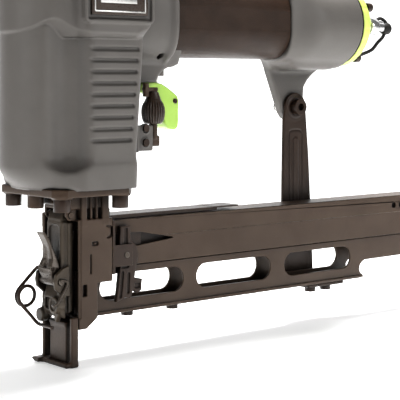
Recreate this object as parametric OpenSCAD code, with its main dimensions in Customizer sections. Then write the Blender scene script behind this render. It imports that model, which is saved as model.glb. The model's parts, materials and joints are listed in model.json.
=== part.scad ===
// Heavy pneumatic stapler: body with handle, nose, side-loading magazine and rear arm.
// +X points to the rear, +Z up, the driver runs down the Z axis, Z = 0 is the contact foot.

/* [Body] */
// Height of the body's lower face above the contact foot
body_z = 98; // [96:0.5:99]
// Height of the body's shoulder, where the wide head starts
belt_z = 178; // [172:1:180]
// Height of the body's upper face
head_z = 212; // [210:1:214]
// Half width of the lower body
body_half_w = 32; // [31:0.5:33]
// Half width of the head
head_half_w = 36; // [35:0.5:38]
// Depth of the cooling grooves
groove_depth = 1.6; // [0.8:0.1:2.4]

/* [Handle] */
// Height of the handle's axis
handle_z = 191.5; // [190:0.5:193]
// Height of the grip section
grip_h = 46; // [42:1:48]
// Width of the grip section
grip_w = 38; // [36:1:42]
// Where the rubber grip starts behind the driver
grip_front = 64; // [62:1:68]
// Where the rubber grip ends
grip_rear = 153; // [148:1:156]
// Radius of the end cap
cap_r = 27; // [25:0.5:28]
// Where the end cap's gasket lies
cap_x = 210; // [205:1:214]

/* [Drive] */
// Radius of the cylinder bore
bore_r = 21; // [19:0.5:21.5]
// Piston stroke
stroke = 70; // [60:1:70]
// Crown width of the driver blade
blade_w = 11; // [9:0.5:11.5]

/* [Magazine] */
// Rear end of the magazine
mag_rear = 300; // [270:1:310]
// Underside of the fixed track
track_z = 25; // [24:0.5:26]
// Top of the fixed track
track_top = 50.8; // [50:0.2:51]
// Length of one window in the track
window_len = 60; // [50:1:62]
// Half width of the track
track_half_w = 7; // [7:0.1:7.1]
// Half width of the sliding cover
cover_half_w = 9; // [8.8:0.1:9.2]

/* [Trigger] */
// Trigger pivot, distance behind the driver
pivot_x = 50; // [49.5:0.1:50.5]
// Trigger pivot height
pivot_z = 151; // [150.8:0.1:151.2]

/* [Safety] */
// Depth wheel, distance behind the driver
wheel_x = 49.5; // [49:0.1:50]
// Depth wheel, distance to the tool's left
wheel_y = -14; // [-14.4:0.1:-14]
// Depth wheel radius
wheel_r = 6.8; // [6:0.1:6.9]

/* [Hidden] */
$fn = 64;
eps = 0.01;
cover_z = 51.5;
cover_top = 77.5;
plate_z = 93.5;
sleeve_top = 205;
arm_x = 186;
arm_z = 138;
arm_y = 10.5;
plug_x = 222;
strap_x = 253.5;
strap_z = 170;
valve_x = 62;
steel = "#4a4038";
black = "#221c19";
grey = "#7a776f";
lime = "#c4e86e";
silver = "#c9c9c6";
door_x = -8;
hinge_z = 82.2;
window_starts = [17.6, 87.5, 159];
foot_screw_x = [188.6, 202.3];
plate_bolts = [[-19, -24], [-19, 24], [19, -24], [19, 24]];

module box(lo, hi) { translate(lo) cube(hi - lo); }

module tube(r_out, r_in, z0, z1) {
    translate([0, 0, z0]) difference() {
        cylinder(r = r_out, h = z1 - z0);
        translate([0, 0, -1]) cylinder(r = r_in, h = z1 - z0 + 2);
    }
}

module rod_y(x, z, r, y0, y1) { translate([x, y0, z]) rotate([-90, 0, 0]) cylinder(r = r, h = y1 - y0); }

module rod_x(y, z, r, x0, x1) { translate([x0, y, z]) rotate([0, 90, 0]) cylinder(r = r, h = x1 - x0); }

// Plate seen from the side: an outline in X and Z, given a thickness in Y
module side_plate(points, y0, y1) {
    translate([0, y1, 0]) rotate([90, 0, 0]) linear_extrude(y1 - y0) polygon(points);
}

module rounded_block(x0, x1, half_w, r, z0, z1) {
    translate([0, 0, z0]) linear_extrude(z1 - z0) {
        translate([x0, -half_w + r]) square([x1 - x0, 2 * (half_w - r)]);
        translate([x0 + r, -half_w]) square([x1 - x0 - 2 * r, 2 * half_w]);
        for (x = [x0 + r, x1 - r], y = [-half_w + r, half_w - r]) translate([x, y]) circle(r);
    }
}

// Rounded bar along X, used for the handle and everything that fits it
module handle_section(w, h, x0, x1) {
    r = w / 2 - 2;
    translate([x0, 0, handle_z]) rotate([90, 0, 90]) linear_extrude(x1 - x0) {
        square([w, h - 2 * r], center = true);
        square([w - 2 * r, h], center = true);
        for (y = [-w / 2 + r, w / 2 - r], z = [-h / 2 + r, h / 2 - r]) translate([y, z]) circle(r);
    }
}

// Coil spring about Z: a round wire swept along a helix
module coil(r, wire, z0, z1, turns) {
    steps = 14 * turns;
    sides = 6;
    points = [for (i = [0:steps], j = [0:sides - 1])
        let (a = 360 * turns * i / steps, b = 360 * j / sides, d = r + wire * cos(b))
        [d * cos(a), d * sin(a), z0 + wire + (z1 - z0 - 2 * wire) * i / steps + wire * sin(b)]];
    lower = [for (i = [0:steps - 1], j = [0:sides - 1])
        [i * sides + j, (i + 1) * sides + j, i * sides + (j + 1) % sides]];
    upper = [for (i = [0:steps - 1], j = [0:sides - 1])
        [(i + 1) * sides + j, (i + 1) * sides + (j + 1) % sides, i * sides + (j + 1) % sides]];
    ends = [[for (j = [0:sides - 1]) j], [for (j = [sides - 1:-1:0]) steps * sides + j]];
    polyhedron(points, concat(lower, upper, ends), convexity = 8);
}

module socket_screw(head_r, head_h, r, length) {
    difference() {
        union() {
            cylinder(r = head_r, h = head_h);
            translate([0, 0, head_h - eps]) cylinder(r = r, h = length + eps);
        }
        translate([0, 0, -eps]) cylinder(r = head_r * 0.55, h = head_h * 0.6, $fn = 6);
    }
}

module body_outside() {
    translate([-8, 0, body_z]) cylinder(r = 30, h = belt_z - body_z);
    rounded_block(-14, 28, body_half_w, 5, body_z, belt_z);
    translate([-6, 0, belt_z - eps]) cylinder(r = 33, h = head_z - belt_z + eps);
    rounded_block(-16, 35, head_half_w, 9, belt_z - eps, head_z);
    difference() {
        handle_section(grip_w + 6, grip_h + 5, 30, grip_front - 0.5);
        box([29, -30, head_z], [35.6, 30, head_z + 10]);
    }
    handle_section(grip_w - 8, grip_h - 8, 60, grip_rear + 5);
    handle_section(grip_w + 2, grip_h + 2, grip_rear + 0.3, 175);
    rod_x(0, handle_z, cap_r, 165, cap_x);
    trigger_web();
    side_plate([[158, 172], [158, 164], [176, 133], [180, 129.5], [186, 129], [192, 130.5], [195, 136],
        [195, 150], [210 - 1, 166], [210 - 1, 172]], arm_y + 2.5, arm_y + 9.5);
    side_plate([[160, 172], [164, 160], [200, 160], [206, 172]], -6, arm_y + 3);
}

// Web between the head and the handle that holds the trigger and its valve
module trigger_web() {
    side_plate([[27, 154], [56, 154], [58.5, 158], [62, 161], [66, 163], [72, 163.5], [72, 172], [27, 184]], -9, 9);
}

module cooling_grooves() {
    for (i = [0:8]) translate([0, 0, 122 + 6.3 * i])
        for (side = [-1, 1]) translate([-10, side * body_half_w - groove_depth, 0]) cube([36, 2 * groove_depth, 2]);
}

module main_body() {
    color(grey) difference() {
        body_outside();
        translate([0, 0, body_z - 1]) cylinder(r = 25, h = head_z - body_z + 2);
        translate([0, 0, 184]) cylinder(r = 28, h = head_z - 184 + 1);
        handle_section(grip_w - 18, grip_h - 18, 20, cap_x - 12);
        rod_x(0, handle_z, cap_r - 6, 178, cap_x + 1);
        cooling_grooves();
        box([-9, -head_half_w - 1, 189], [30, -head_half_w + 1.2, 209]);
        box([46, -6.4, 150], [66, 6.4, 158]);
        translate([valve_x, 0, 150]) cylinder(r = 5.1, h = 26.5);
        translate([valve_x, 0, 176]) cylinder(r = 3.5, h = 10);
        rod_y(54.9, 169.2, 1.5, -12, 12);
        rod_y(pivot_x, pivot_z + eps, 1.7, -12, 12);
        box([pivot_x - 1.7, -12, pivot_z - 4], [pivot_x + 1.7, 12, pivot_z]);
        rod_y(arm_x, arm_z, 3.1, 0, 30);
        for (p = plate_bolts) translate([p.x, p.y, body_z - 1]) cylinder(r = 2.5, h = 14);
        for (a = [63:90:333]) rod_x(20.6 * cos(a) * 1.17, handle_z + 20.6 * sin(a) * 1.17, 1.6, cap_x - 12, cap_x + 1);
        for (p = [[-27, -17], [-27, 17], [27, -26], [27, 26]])
            translate([p.x, p.y, head_z - 14]) cylinder(r = 2, h = 15);
    }
}

module rubber_grip() {
    color("#3a2c24") difference() {
        handle_section(grip_w, grip_h, grip_front, grip_rear);
        handle_section(grip_w - 7.9, grip_h - 7.9, grip_front - 1, grip_rear + 1);
        side_plate([[60, 160], [72.4, 160], [72.4, 175], [60, 177]], -9.4, 9.4);
    }
}

module label_plate() {
    color(black) box([-8, -head_half_w, 190], [29, -head_half_w + 1.2, 208]);
}

module end_cap_gasket() {
    color(black) difference() {
        rod_x(0, handle_z, cap_r - 0.3, cap_x, cap_x + 1);
        rod_x(0, handle_z, cap_r - 6, cap_x - 1, cap_x + 2);
        cap_screw_places(cap_x - 1, cap_x + 2, 1.6);
    }
}

module cap_screw_places(x0, x1, r) {
    for (a = [63:90:333]) rod_x(24.1 * cos(a), handle_z + 24.1 * sin(a), r, x0, x1);
}

module end_cap() {
    color(lime) difference() {
        union() {
            rod_x(0, handle_z, cap_r, cap_x + 1, cap_x + 7);
            rod_x(0, handle_z, cap_r - 2, cap_x + 7 - eps, cap_x + 9);
            rod_x(0, handle_z, 13, cap_x + 9 - eps, plug_x);
        }
        rod_x(0, handle_z, 10, cap_x, cap_x + 8);
        rod_x(0, handle_z, 5, cap_x, plug_x + 1);
        cap_screw_places(cap_x, cap_x + 12, 1.6);
        cap_screw_places(cap_x + 8, cap_x + 12, 3);
    }
}

module end_cap_screws() {
    color(black) for (a = [63:90:333])
        translate([cap_x + 12, 24.1 * cos(a), handle_z + 24.1 * sin(a)]) rotate([0, -90, 0]) socket_screw(2.9, 4, 1.5, 18);
}

module air_plug() {
    color(silver) difference() {
        union() {
            rod_x(0, handle_z, 4.9, plug_x - 8, plug_x + eps);
            translate([plug_x, 0, handle_z]) rotate([0, 90, 0]) cylinder(r = 8, h = 7, $fn = 6);
            rod_x(0, handle_z, 5.9, plug_x + 7 - eps, plug_x + 14);
            rod_x(0, handle_z, 4.2, plug_x + 14 - eps, plug_x + 20);
            rod_x(0, handle_z, 5.9, plug_x + 20 - eps, plug_x + 27);
            rod_x(0, handle_z, 4, plug_x + 27 - eps, plug_x + 34);
        }
        rod_x(0, handle_z, 2.6, plug_x - 10, plug_x + 36);
    }
}

module dust_cap() {
    x = strap_x;
    color(black) difference() {
        union() {
            rod_x(0, handle_z, 6.4, plug_x + 28, plug_x + 38);
            box([x - 1.5, -1.5, strap_z], [x + 1.5, 1.5, handle_z - 5.8]);
            rod_y(x, strap_z, 3, -1.5, 1.5);
        }
        rod_x(0, handle_z, 5.2, plug_x + 27, plug_x + 35);
        rod_y(x, strap_z, 1.3, -3, 3);
    }
}

// Strap that ties the dust cap to the end cap
module dust_cap_strap() {
    color(black) {
        rod_y(strap_x, strap_z, 1.25, -3, 3);
        for (y = [-3.4, 1.8]) box([cap_x + 9, y, strap_z - 1.5], [strap_x + 1.5, y + 1.6, strap_z + 1.5]);
        box([cap_x + 9, -3.4, strap_z - 1.5], [cap_x + 13, 3.4, strap_z + 1.5]);
    }
}

module cylinder_sleeve() {
    color(silver) {
        tube(bore_r + 3, bore_r, 115.5, sleeve_top);
        tube(25, bore_r, 113.5, 118);
        tube(25, bore_r + 2.9, 176, 182);
    }
}

module sleeve_seals() {
    color(black) for (z = [119, 183]) tube(24.95, bore_r + 3, z, z + 2.5);
}

module bumper() {
    color("#2a2420") difference() {
        translate([0, 0, body_z]) cylinder(r = 24.8, h = 15.5);
        box([-2, -blade_w / 2 - 1, body_z - 1], [2, blade_w / 2 + 1, 120]);
    }
}

module piston() {
    color(silver) translate([0, 0, 187]) difference() {
        cylinder(r = bore_r - 0.3, h = 12);
        translate([0, 0, 5]) cylinder(r = 14, h = 8);
        tube(bore_r + 1, bore_r - 2, 5.5, 8);
        box([-0.7, -blade_w / 2, -1], [0.7, blade_w / 2, 3]);
    }
}

module piston_ring() {
    color(black) tube(bore_r - 0.1, bore_r - 2, 187 + 5.6, 187 + 7.9);
}

module driver_blade() {
    color(steel) box([-0.65, -blade_w / 2 + 0.1, 187 - 108], [0.65, blade_w / 2 - 0.1, 190]);
}

module head_valve() {
    color(silver) difference() {
        translate([0, 0, sleeve_top + 0.5]) cylinder(r = 25.5, h = 8.5);
        translate([0, 0, sleeve_top + 3.5]) cylinder(r = 16, h = 8);
    }
}

module head_valve_spring() {
    color(silver) coil(12, 0.9, sleeve_top + 3.6, 222.9, 4);
}

module top_outline(z0, z1, r) {
    translate([-6, 0, z0]) cylinder(r = 33, h = z1 - z0);
    rounded_block(-16, 35, head_half_w, r, z0, z1);
}

module top_cap_gasket() {
    color(black) difference() {
        top_outline(head_z, head_z + 1, 9);
        translate([0, 0, head_z - 1]) cylinder(r = 26.2, h = 3);
        top_screw_holes(head_z - 1, head_z + 2);
    }
}

module top_screw_holes(z0, z1) {
    for (p = [[-27, -17], [-27, 17], [27, -26], [27, 26]]) translate([p.x, p.y, z0]) cylinder(r = 2, h = z1 - z0);
}

module top_cap() {
    color(grey) difference() {
        union() {
            top_outline(head_z + 1, head_z + 9, 9);
            translate([0, 0, head_z + 9 - eps]) cylinder(r = 30, h = 6);
        }
        translate([0, 0, head_z]) cylinder(r = 26.2, h = 11);
        translate([0, 0, head_z + 10]) cylinder(r = 2, h = 10);
        top_screw_holes(head_z, head_z + 10);
        for (y = [-17, 17]) translate([-27, y, head_z + 9]) cylinder(r = 4.6, h = 8);
    }
}

module top_cap_screws() {
    color(black) for (p = [[-27, -17], [-27, 17], [27, -26], [27, 26]])
        translate([p.x, p.y, head_z + 14]) mirror([0, 0, 1]) socket_screw(4.2, 5, 1.9, 16);
}

module exhaust_deflector() {
    color(black) translate([0, 0, head_z + 15.3]) difference() {
        cylinder(r = 24, h = 7);
        translate([0, 0, -1]) cylinder(r = 21, h = 6);
        translate([0, 0, -2]) cylinder(r = 2.1, h = 12);
        for (i = [-2:2]) rotate([0, 0, 180 + 20 * i]) translate([18, -2, 0.5]) cube([10, 4, 3.6]);
    }
}

module deflector_screw() {
    color(silver) translate([0, 0, head_z + 25.5]) mirror([0, 0, 1]) socket_screw(4.6, 3, 1.95, 9);
}

module trigger() {
    color(lime) difference() {
        union() {
            side_plate([[50, 147.6], [60, 147.2], [61, 141.5], [64, 137], [63, 132], [65.5, 129], [68.5, 126.8],
                [72.5, 126.4], [74.5, 129], [75, 143.5], [73.5, 147], [69, 149.8], [63, 153.6], [57, 154.2], [50, 154.4]], -6, 6);
            rod_y(pivot_x, pivot_z, 3.4, -6, 6);
        }
        side_plate([[54, 146.6], [67, 146.6], [68, 140.5], [77, 140.5], [77, 158], [54, 158]], -4, 4);
        box([60, -4, 139], [67.5, 4, 147]);
        rod_y(pivot_x, pivot_z, 1.65, -10, 10);
        rod_y(72, 143.3, 1.55, -10, 10);
    }
}

module trigger_pin() { color(steel) rod_y(pivot_x, pivot_z, 1.6, -7.1, 7.1); }

module contact_lever() {
    color(silver) difference() {
        side_plate([[56, 147.3], [66.5, 147.3], [70, 141.6], [73.6, 141.6], [74.4, 143.6], [73, 146.2], [66.5, 149.3],
            [56, 149.3]], -3, 3);
        rod_y(72, 143.3, 1.3, -5, 5);
    }
}

module contact_lever_pin() { color(black) rod_y(72, 143.3, 1.25, -6.5, 6.5); }

module valve_body() {
    color(black) translate([valve_x, 0, 0]) difference() {
        translate([0, 0, 157.8]) cylinder(r = 5, h = 18.5);
        translate([0, 0, 157]) cylinder(r = 1.8, h = 22);
        translate([0, 0, 164]) cylinder(r = 4, h = 9);
    }
}

module valve_stem() {
    color(silver) translate([valve_x, 0, 0]) {
        translate([0, 0, 151.8]) cylinder(r = 1.6, h = 20);
        translate([0, 0, 164.3]) cylinder(r = 3, h = 1.5);
    }
}

module valve_spring() { color(silver) translate([valve_x, 0, 0]) coil(2.8, 0.4, 165.9, 172.9, 5); }

module valve_pin() { color(steel) rod_y(54.9, 169.2, 1.45, -8.9, 8.9); }

module flange_plate(z0, z1) {
    c = 6;
    translate([0, 0, z0]) linear_extrude(z1 - z0)
        polygon([[-26 + c, -31], [26 - c, -31], [26, -31 + c], [26, 31 - c], [26 - c, 31], [-26 + c, 31],
            [-26, 31 - c], [-26, -31 + c]]);
}

module nose_casting() {
    color(steel) difference() {
        union() {
            flange_plate(plate_z, body_z);
            box([-7.5, -12, 85], [18, 10.8, plate_z + eps]);
            box([-1.2, -13, 79], [19, 10.8, 86]);
            side_plate([[-1.2, 20], [4, 20], [9.5, 24], [11.3, 25], [11.3, 44.4], [21.4, 44.4], [21.4, 79.5],
                [-1.2, 79.5]], -14, 10.8);
            box([-1.2, -10.8, 5], [5, 8, 20.01]);
            for (x = [1, 8, 15]) box([x, -14, 79], [x + 3, -11, plate_z + eps]);
            translate([-20, 0, 86.3]) cylinder(r = 4.4, h = 7.3);
        }
        box([-1.21, -blade_w / 2 - 0.3, 4], [0.9, blade_w / 2 + 0.3, 86]);
        box([-1.2, -blade_w / 2 - 0.3, 80], [0.9, blade_w / 2 + 0.3, 100]);
        box([0.8, -track_half_w - 0.01, track_z], [22, track_half_w + 0.01, track_top]);
        box([0.8, -cover_half_w - 0.4, track_top - 0.1], [22, cover_half_w + 0.4, cover_top + 0.4]);
        rod_y(4, 56, 2.2, -15, -11);
        for (p = plate_bolts) translate([p.x, p.y, plate_z - 1]) cylinder(r = 2.6, h = 8);
    }
    color(steel) for (y = [-8.8, 6.8]) side_plate([[-7.5, 84], [-2, 84], [-2, 86], [-7.5, 86]], y, y + 2);
    color(steel) for (y = [-10.8, 9.3]) difference() {
        side_plate([[-7.5, 79.2], [-1.1, 79.2], [-1.1, 86], [-7.5, 86]], y, y + 1.5);
        rod_y(-4.5, hinge_z, 1.55, -20, 20);
    }
    color(steel) side_plate([[-1.2, 26.5], [-7, 26], [-7, 24.4], [-5.6, 21], [-5.6, 5], [-1.2, 5]], -7.8, 7.8);
}

module nose_screws() {
    color(black) for (p = plate_bolts) translate([p.x, p.y, plate_z - 7.5]) socket_screw(4.5, 7.5, 2.45, 15);
}

module front_door() {
    color("#554a3c") difference() {
        union() {
            box([door_x, -9, 28], [-1.3, 9, 78.5]);
            side_plate([[door_x, 60], [-1.3, 60], [-1.3, 79], [-3, 84.4], [-6, 84.4], [door_x, 80]], -6.6, 6.6);
            for (y = [-10.3, 7.8]) side_plate([[door_x + 1, 40], [-9, 40.5], [-14, 44], [-14, 50], [-9, 53],
                [door_x + 1, 54]], y, y + 2.5);
        }
        rod_y(-4.5, hinge_z, 1.55, -20, 20);
        rod_y(-10.5, 46.5, 1.65, -20, 20);
        box([-2.4, -4, 30], [-1.2, 4, 76]);
    }
}

module door_pin() { color(steel) rod_y(-4.5, hinge_z, 1.5, -11.4, 11.4); }

module latch_lever() {
    color("#6b675f") difference() {
        union() {
            rod_y(-10.5, 46.5, 2.4, -7.6, 7.6);
            side_plate([[-13.7, 46], [-15.5, 52], [-14.5, 59], [-16, 66], [-21.5, 73], [-20, 74.5], [-15, 71],
                [-11.5, 65], [-10, 58], [-9.2, 50], [-8.6, 46]], -7, 7);
        }
        rod_y(-10.5, 46.5, 1.65, -20, 20);
        rod_y(-12.9, 53.2, 1.3, -20, 20);
    }
}

module latch_pin() { color(steel) rod_y(-10.5, 46.5, 1.6, -11.2, 11.2); }

// One straight stretch of round wire from point a to point b in the X-Z plane
module wire_piece(a, b, y, r) {
    d = b - a;
    translate([a.x, y, a.y]) rotate([0, atan2(d.x, d.y), 0]) cylinder(r = r, h = norm(d));
}

module latch_bail() {
    $fn = 24;
    y = 9;
    route = [[-12.9, 53.2], [-26, 44], [-28, 40], [-25.5, 35], [-12.5, 21.5]];
    color(black) {
        rod_y(-12.9, 53.2, 1.1, -6.4, y);
        for (i = [0:3]) wire_piece(route[i], route[i + 1], y, 1);
        for (i = [0:4]) translate([route[i].x, y, route[i].y]) sphere(1.15);
        rod_y(-12.5, 21.5, 1, -5, y);
    }
}

module safety_foot() {
    color(steel) {
        box([-5.8, -14, 0], [-1.5, -11.5, 27]);
        box([-7, 11.5, 0], [-1.6, 14, 82]);
        difference() {
            union() {
                box([-9, -14, 0], [-1.5, 14, 2.6]);
                side_plate([[-12, 0], [-8.9, 0], [-8.9, 2.6], [-12, 1.6]], -4, 17);
                box([-9, 13.9, 0], [-5, 17, 2.6]);
            }
            box([-6.5, -11.2, -1], [0, 8.4, 4]);
        }
        box([-7, 11.5, 74], [36, 14, 82]);
        box([30.5, 11.5, 74], [36, 14, 124]);
        box([30.5, -16, 118], [36, 14, 124]);
        box([30.5, -16, 118], [wheel_x + 3.5, -12, 124]);
        translate([wheel_x, wheel_y, 123]) cylinder(r = 2.5, h = 27);
        box([44.3 - 1.8, wheel_y - 1.8, 149.2], [wheel_x + 2.5, wheel_y + 1.8, 151.4]);
        translate([44.3, wheel_y, 146]) cylinder(r = 1.8, h = 7.8);
    }
}

module depth_wheel() {
    color(black) translate([wheel_x, wheel_y, 0]) difference() {
        union() {
            translate([0, 0, 130.6]) cylinder(r = wheel_r, h = 14.7);
            translate([0, 0, 145]) cylinder(r = 2.95 + 0.2, h = 3.7);
        }
        translate([0, 0, 129]) cylinder(r = 2.56, h = 22);
        for (a = [0:20:340]) rotate([0, 0, a]) translate([wheel_r + 0.5, 0, 130]) cylinder(r = 0.9, h = 16);
        translate([-8, -8, 145.3]) cube([4.85, 16, 5]);
    }
}

module safety_guide() {
    color(grey) difference() {
        union() {
            box([28, -18.6, 115.8], [46, -16.4, 130.2]);
            box([28, -27, 115.8], [29.8, -16.4, 130.2]);
        }
        for (z = [120.5, 128.6]) rod_y(40.4, z, 1.3, -20, -15);
    }
}

module guide_screws() {
    color(black) for (z = [120.5, 128.6]) {
        rod_y(40.4, z, 2, -20, -18.6);
        rod_y(40.4, z, 1.25, -18.61, -16.4);
    }
}

module safety_spring() { color(silver) translate([33.2, 0, 0]) coil(2.2, 0.45, 124.1, 153.9, 7); }

module track_window(x) {
    r = 4;
    h = 7.2;
    z = 39.7;
    box([x + r, -20, z - h], [x + window_len - r, 20, z + h]);
    box([x, -20, z - h + r], [x + window_len, 20, z + h - r]);
    for (c = [x + r, x + window_len - r], d = [r - h, h - r]) rod_y(c, z + d, r, -20, 20);
}

module magazine_track() {
    color(steel) difference() {
        union() {
            box([1.2, -track_half_w, track_z], [mag_rear - 4, track_half_w, track_top]);
            box([12, -track_half_w - 1.2, track_z], [228, track_half_w + 1.2, track_z + 1.8]);
        }
        box([0, -track_half_w + 1.5, track_z + 2], [mag_rear, track_half_w - 1.5, track_top + 1]);
        for (x = window_starts) track_window(x);
        difference() {
            box([222, -20, track_z - 1], [mag_rear, 20, 36.6]);
            rod_y(222, 36.6 - 9.6, 9.6, -21, 21);
            box([221, -20, track_z - 2], [228, 20, track_z + 1.8]);
        }
        for (x = concat([41.5, 74.4], foot_screw_x)) translate([x, 0, track_z - 2]) cylinder(r = 1.7, h = 6);
        for (x = [52, 250]) translate([x, 0, 49.5]) rod_y(0, 0, 0.9, -20, 20);
    }
}

module track_screws() {
    color(black) for (x = [41.5, 74.4]) translate([x, 0, track_z - 3.4]) socket_screw(3.5, 3.4, 1.65, 4.5);
}

module staple_rail() {
    color(silver) {
        difference() {
            box([1.5, -4.4, 50], [mag_rear - 8, 4.4, 72.5]);
            box([0, -3.2, 49], [mag_rear, 3.2, 71.3]);
        }
        for (x = [30, 100, 170, 240]) box([x, -5.5, 48.5], [x + 12, 5.5, 50.01]);
    }
}

module magazine_cover() {
    color(steel) difference() {
        union() {
            box([23, -cover_half_w, cover_z], [mag_rear, cover_half_w, cover_top]);
            box([23, -cover_half_w - 0.3, 66.5], [mag_rear, cover_half_w + 0.3, cover_top - 0.3]);
        }
        box([22, -cover_half_w + 1.3, cover_z - 1], [mag_rear + 1, cover_half_w - 1.3, cover_top - 1.5]);
        for (side = [-1, 1]) side_plate([[20, 62], [44, 62], [68, 64.2], [68, 64.8], [44, 69.5], [20, 69.5]],
            side * cover_half_w - 1.4, side * cover_half_w + 1.4);
        for (x = [259, 266]) rod_y(x, 71, 2, -20, 20);
    }
}

module cover_end() {
    color(black) {
        box([mag_rear, -cover_half_w, cover_z], [mag_rear + 3, cover_half_w, cover_top + 3]);
        box([mag_rear - 3, -7.6, 73.2], [mag_rear + 0.01, 7.6, 75.9]);
    }
}

module top_guard() {
    color(steel) {
        box([21.8, -7.5, cover_top + 0.45], [103, 7.5, 80]);
        box([100, -7.5, 79.2], [120, 7.5, 80.2]);
        box([21.8, -7.5, cover_top + 0.45], [24, 7.5, 84]);
    }
}

module pusher() {
    color(silver) difference() {
        box([24, -7.1, 54], [46, 7.1, 75.2]);
        box([23, -4.7, 53], [47, 4.7, 72.9]);
    }
}

module pusher_spring() { color(silver) translate([60, 0, 61]) rotate([0, 90, 0]) coil(2.4, 0.35, 0, 120, 14); }

module latch_bracket() {
    color(black) difference() {
        union() {
            box([21.4, -14.2, 48], [23, -9.8, 78]);
            box([21.4, -14.2, 52], [35, -12.9, 64]);
        }
        rod_y(31, 58, 1.5, -20, 0);
    }
}

module magazine_latch_pin() { color(silver) rod_y(31, 58, 1.5, -14.6, -9.6); }

module magazine_latch() {
    color(black) difference() {
        side_plate([[28, 74], [34, 74], [35.5, 66], [36.5, 60], [38.5, 44], [43, 40], [42, 32], [37, 31.5], [34, 37],
            [31, 34], [24, 33], [26, 44], [27.4, 52], [27, 60]], -12.6, -9.8);
        rod_y(31, 58, 1.55, -20, 0);
    }
}

module rear_stop() {
    color(black) box([mag_rear - 8, -4.4, 53], [mag_rear - 6, 4.4, 72.5]);
}

module support_arm() {
    w = 9;
    color(black) difference() {
        union() {
            rod_y(arm_x, arm_z, w, arm_y, arm_y + 2.2);
            side_plate([[arm_x - w, arm_z], [arm_x - w - 1, 22.8], [arm_x + 13, 22.8], [arm_x + w, arm_z]],
                arm_y, arm_y + 2.2);
            side_plate([[arm_x - w, 122], [arm_x - w - 1, 26], [arm_x - w + 1.2, 26], [arm_x - w + 2.2, 122]],
                arm_y, arm_y + 4);
            side_plate([[arm_x + w + 0.1, 122], [arm_x + 13, 26], [arm_x + 10.8, 26], [arm_x + w - 2.1, 122]],
                arm_y, arm_y + 4);
            box([180, -7.5, 22.8], [212, arm_y + 2.2, 25]);
        }
        rod_y(arm_x, arm_z, 3.1, 0, 30);
        for (x = foot_screw_x) translate([x, 0, 20]) cylinder(r = 1.7, h = 8);
    }
}

module arm_bolt() {
    color(black) translate([arm_x, arm_y - 5, arm_z]) rotate([-90, 0, 0]) socket_screw(5, 5, 3, 18);
}

module arm_nut() {
    color(silver) translate([arm_x, arm_y + 9.5, arm_z]) rotate([-90, 0, 0]) difference() {
        cylinder(r = 5.8, h = 5, $fn = 6);
        translate([0, 0, -1]) cylinder(r = 3, h = 8);
    }
}

module arm_screws() {
    color(black) for (x = foot_screw_x) translate([x, 0, 19.4]) socket_screw(3.5, 3.4, 1.65, 6);
}

main_body();
rubber_grip();
label_plate();
end_cap_gasket();
end_cap();
end_cap_screws();
air_plug();
dust_cap();
dust_cap_strap();
cylinder_sleeve();
sleeve_seals();
bumper();
piston();
piston_ring();
driver_blade();
head_valve();
head_valve_spring();
top_cap_gasket();
top_cap();
top_cap_screws();
exhaust_deflector();
deflector_screw();
trigger();
trigger_pin();
contact_lever();
contact_lever_pin();
valve_body();
valve_stem();
valve_spring();
valve_pin();
nose_casting();
nose_screws();
front_door();
door_pin();
latch_lever();
latch_pin();
latch_bail();
safety_foot();
depth_wheel();
safety_guide();
guide_screws();
safety_spring();
magazine_track();
track_screws();
staple_rail();
magazine_cover();
cover_end();
top_guard();
pusher();
pusher_spring();
magazine_latch();
magazine_latch_pin();
latch_bracket();
rear_stop();
support_arm();
arm_bolt();
arm_nut();
arm_screws();
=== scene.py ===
import json
import math

import bmesh
import bpy
import numpy as np
from mathutils import Matrix, Vector

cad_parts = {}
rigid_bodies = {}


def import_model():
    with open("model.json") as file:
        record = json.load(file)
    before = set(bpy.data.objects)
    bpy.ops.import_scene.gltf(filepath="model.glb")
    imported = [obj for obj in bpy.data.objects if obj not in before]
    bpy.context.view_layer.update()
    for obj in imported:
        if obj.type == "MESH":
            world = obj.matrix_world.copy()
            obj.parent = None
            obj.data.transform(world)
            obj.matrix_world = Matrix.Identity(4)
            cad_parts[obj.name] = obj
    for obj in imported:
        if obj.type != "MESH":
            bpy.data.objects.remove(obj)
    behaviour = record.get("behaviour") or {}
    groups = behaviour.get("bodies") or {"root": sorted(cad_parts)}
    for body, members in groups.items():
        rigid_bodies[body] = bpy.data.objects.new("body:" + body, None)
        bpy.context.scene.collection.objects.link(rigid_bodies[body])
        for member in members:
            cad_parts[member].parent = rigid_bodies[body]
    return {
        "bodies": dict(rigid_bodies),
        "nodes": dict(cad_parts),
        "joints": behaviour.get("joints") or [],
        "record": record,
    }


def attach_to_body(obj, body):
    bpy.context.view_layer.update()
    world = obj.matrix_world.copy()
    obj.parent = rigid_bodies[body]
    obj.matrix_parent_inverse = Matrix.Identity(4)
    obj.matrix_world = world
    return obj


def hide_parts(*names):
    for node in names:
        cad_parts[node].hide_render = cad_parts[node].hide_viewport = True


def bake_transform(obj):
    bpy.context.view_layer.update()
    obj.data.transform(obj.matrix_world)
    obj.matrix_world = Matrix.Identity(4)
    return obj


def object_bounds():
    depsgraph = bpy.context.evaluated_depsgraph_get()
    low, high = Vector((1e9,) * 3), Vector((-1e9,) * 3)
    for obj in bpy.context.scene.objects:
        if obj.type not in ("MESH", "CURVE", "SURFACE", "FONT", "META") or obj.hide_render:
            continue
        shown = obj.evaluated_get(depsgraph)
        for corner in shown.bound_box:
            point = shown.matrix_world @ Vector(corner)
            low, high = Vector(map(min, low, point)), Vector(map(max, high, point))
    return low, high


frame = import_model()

MM = 0.001
cad_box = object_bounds()
scene = bpy.context.scene


# ---------------------------------------------------------------- camera, stage and light

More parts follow.
